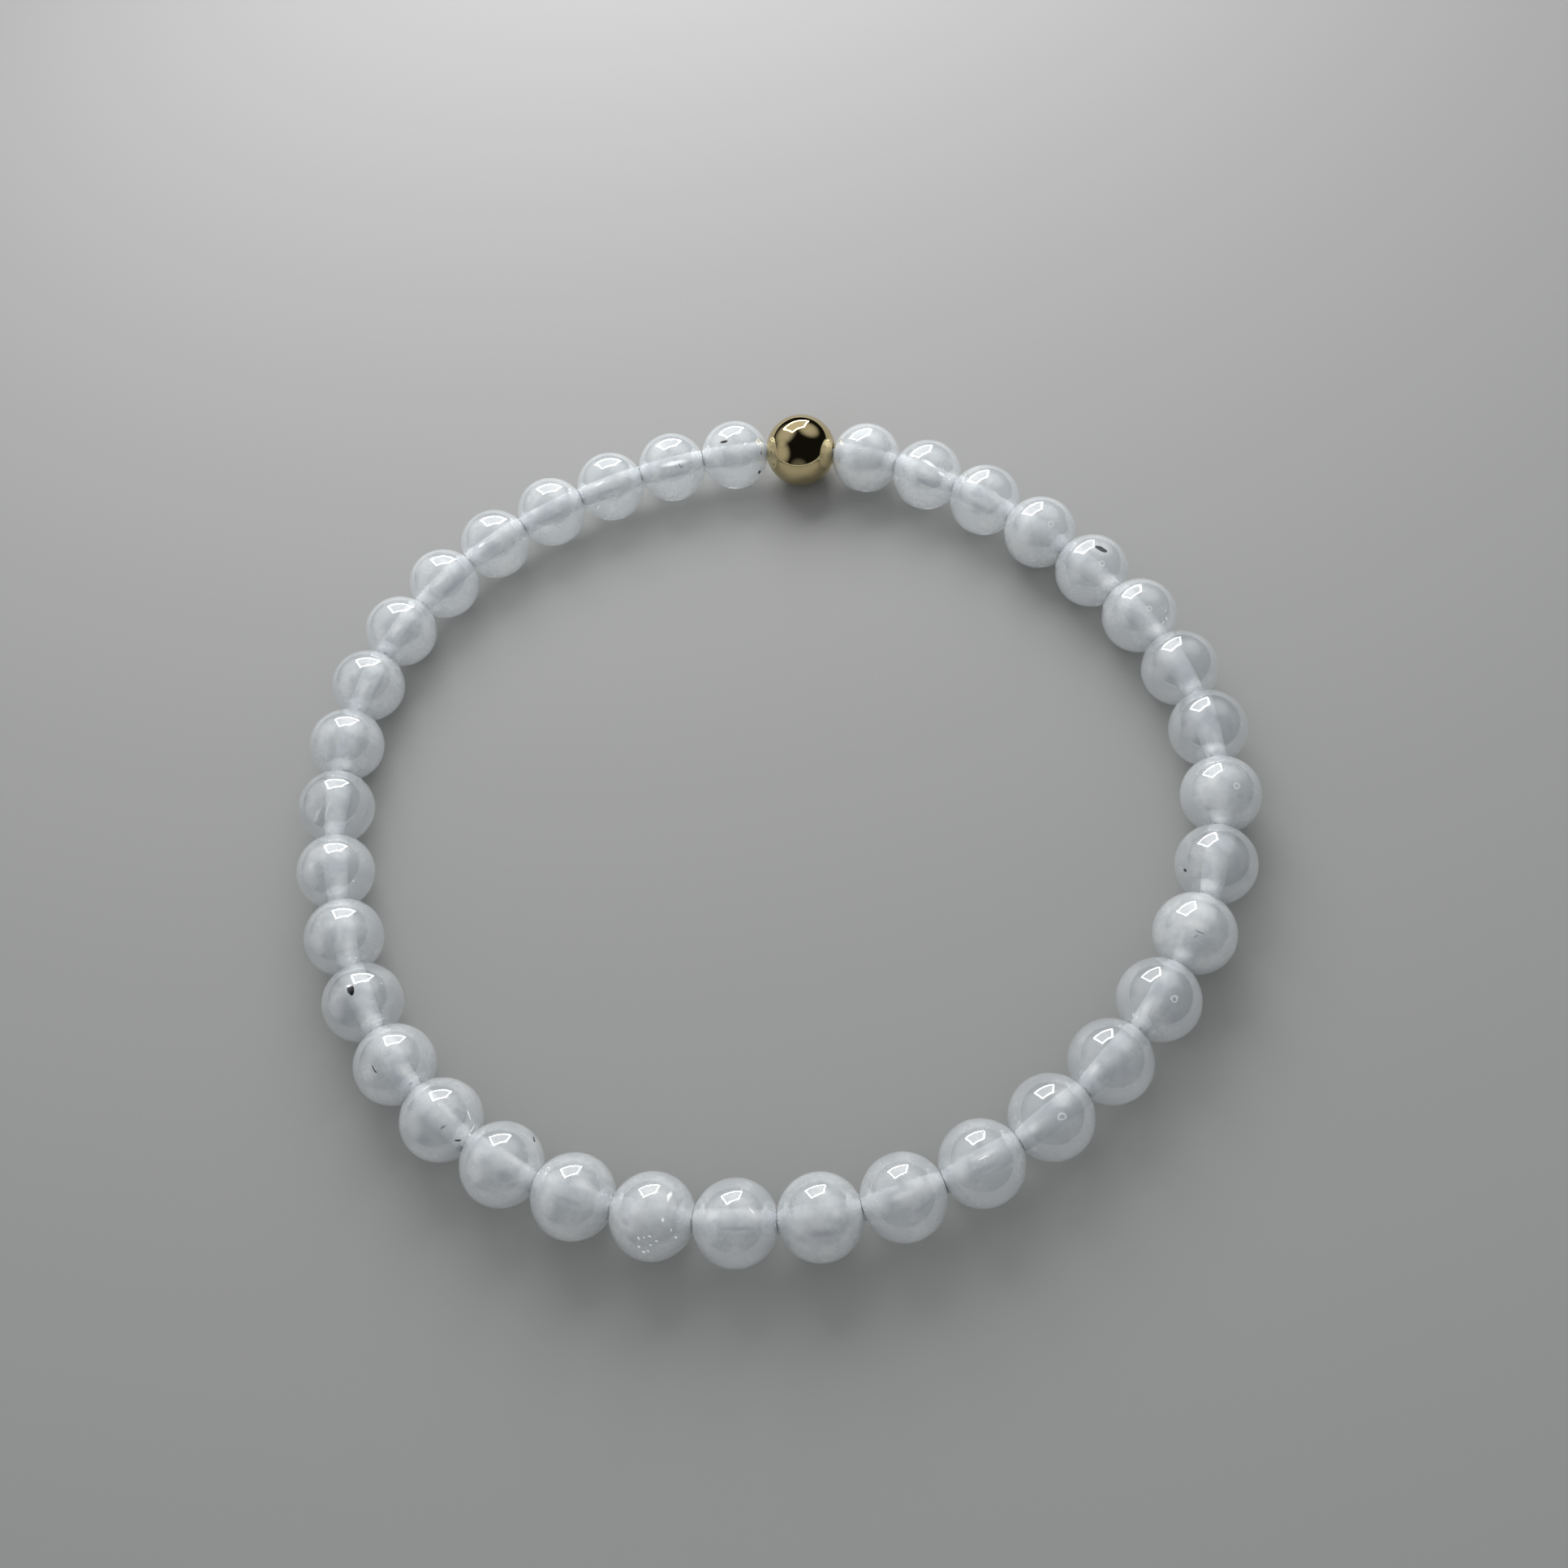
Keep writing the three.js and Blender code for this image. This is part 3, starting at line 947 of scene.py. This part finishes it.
def room_finish():
    """Dark overhead, paler where light walls stand to the left and the right."""
    material = clean_material("room_in_reflections")
    place = add_node(material, "ShaderNodeTexCoord").outputs["Object"]
    direction = add_node(material, "ShaderNodeVectorMath", operation="NORMALIZE")
    wire(material, place, direction.inputs[0])
    walls = None
    for azimuth, elevation, reach, strength in ROOM_WALLS:
        facing = add_node(
            material, "ShaderNodeVectorMath", {1: from_ring(azimuth, elevation)}, operation="DOT_PRODUCT"
        )
        wire(material, direction.outputs["Vector"], facing.inputs[0])
        patch = ramp(material, facing.outputs["Value"], math.cos(math.radians(reach)), 1, 0, strength)
        if walls is None:
            walls = patch
        else:
            both = add_node(material, "ShaderNodeMath", operation="ADD")
            wire(material, walls, both.inputs[0])
            wire(material, patch, both.inputs[1])
            walls = both.outputs["Value"]
    total = add_node(material, "ShaderNodeMath", {1: ROOM_DARK}, operation="ADD")
    wire(material, walls, total.inputs[0])
    glow = add_node(material, "ShaderNodeEmission")
    wire(material, total.outputs["Value"], glow.inputs["Strength"])
    finish_surface(material, glow.outputs["Emission"])
    material.cycles.emission_sampling = "NONE"
    return material


room_bm = bmesh.new()
bmesh.ops.create_icosphere(room_bm, subdivisions=4, radius=ROOM_RADIUS)
bmesh.ops.bisect_plane(
    room_bm,
    geom=room_bm.verts[:] + room_bm.edges[:] + room_bm.faces[:],
    plane_co=(0, 0, -1 * MM),
    plane_no=(0, 0, -1),
    clear_outer=True,
)
reflected_room = new_piece("reflected_room", room_bm, [room_finish()])
only_reflected(reflected_room)
print("room dome in mm:", round(ROOM_RADIUS / MM), "with", len(ROOM_WALLS), "paler walls")

# %% [markdown]
# ## Light from all round
#
# A room's walls and ceiling send back some of the window's light from every side, which
# opens up the shadows. One even background colour does that, slightly cool as daylight is.
# It is left out of the lamp sampling: an even background is found just as well by the
# bounces, and all the shadow rays can go to the window. The light is followed for a few
# bounces only, since the fog has scattered it evenly by then.

# %% Background and bounces
ROOM_LIGHT = 0.48
world = bpy.data.worlds.new("studio")
bpy.context.scene.world = world
world.use_nodes = True
room_light = world.node_tree.nodes["Background"]
room_light.inputs["Color"].default_value = (0.96, 0.98, 1.0, 1)
room_light.inputs["Strength"].default_value = ROOM_LIGHT
world.cycles.sampling_method = "NONE"
bpy.context.scene.view_settings.view_transform = "Standard"
light_paths = bpy.context.scene.cycles
light_paths.diffuse_bounces = 2
light_paths.volume_bounces = 3
light_paths.max_bounces = 5
print("room light:", ROOM_LIGHT, "and at most", light_paths.max_bounces, "bounces")

# %% [markdown]
# ## The size of the looks
#
# The looks must not change the bracelet's size, so the box of what is shown is printed.

# %% The size of the looks
low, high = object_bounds()
print("visual box in mm:", [round((b - a) / MM, 2) for a, b in zip(low, high)])
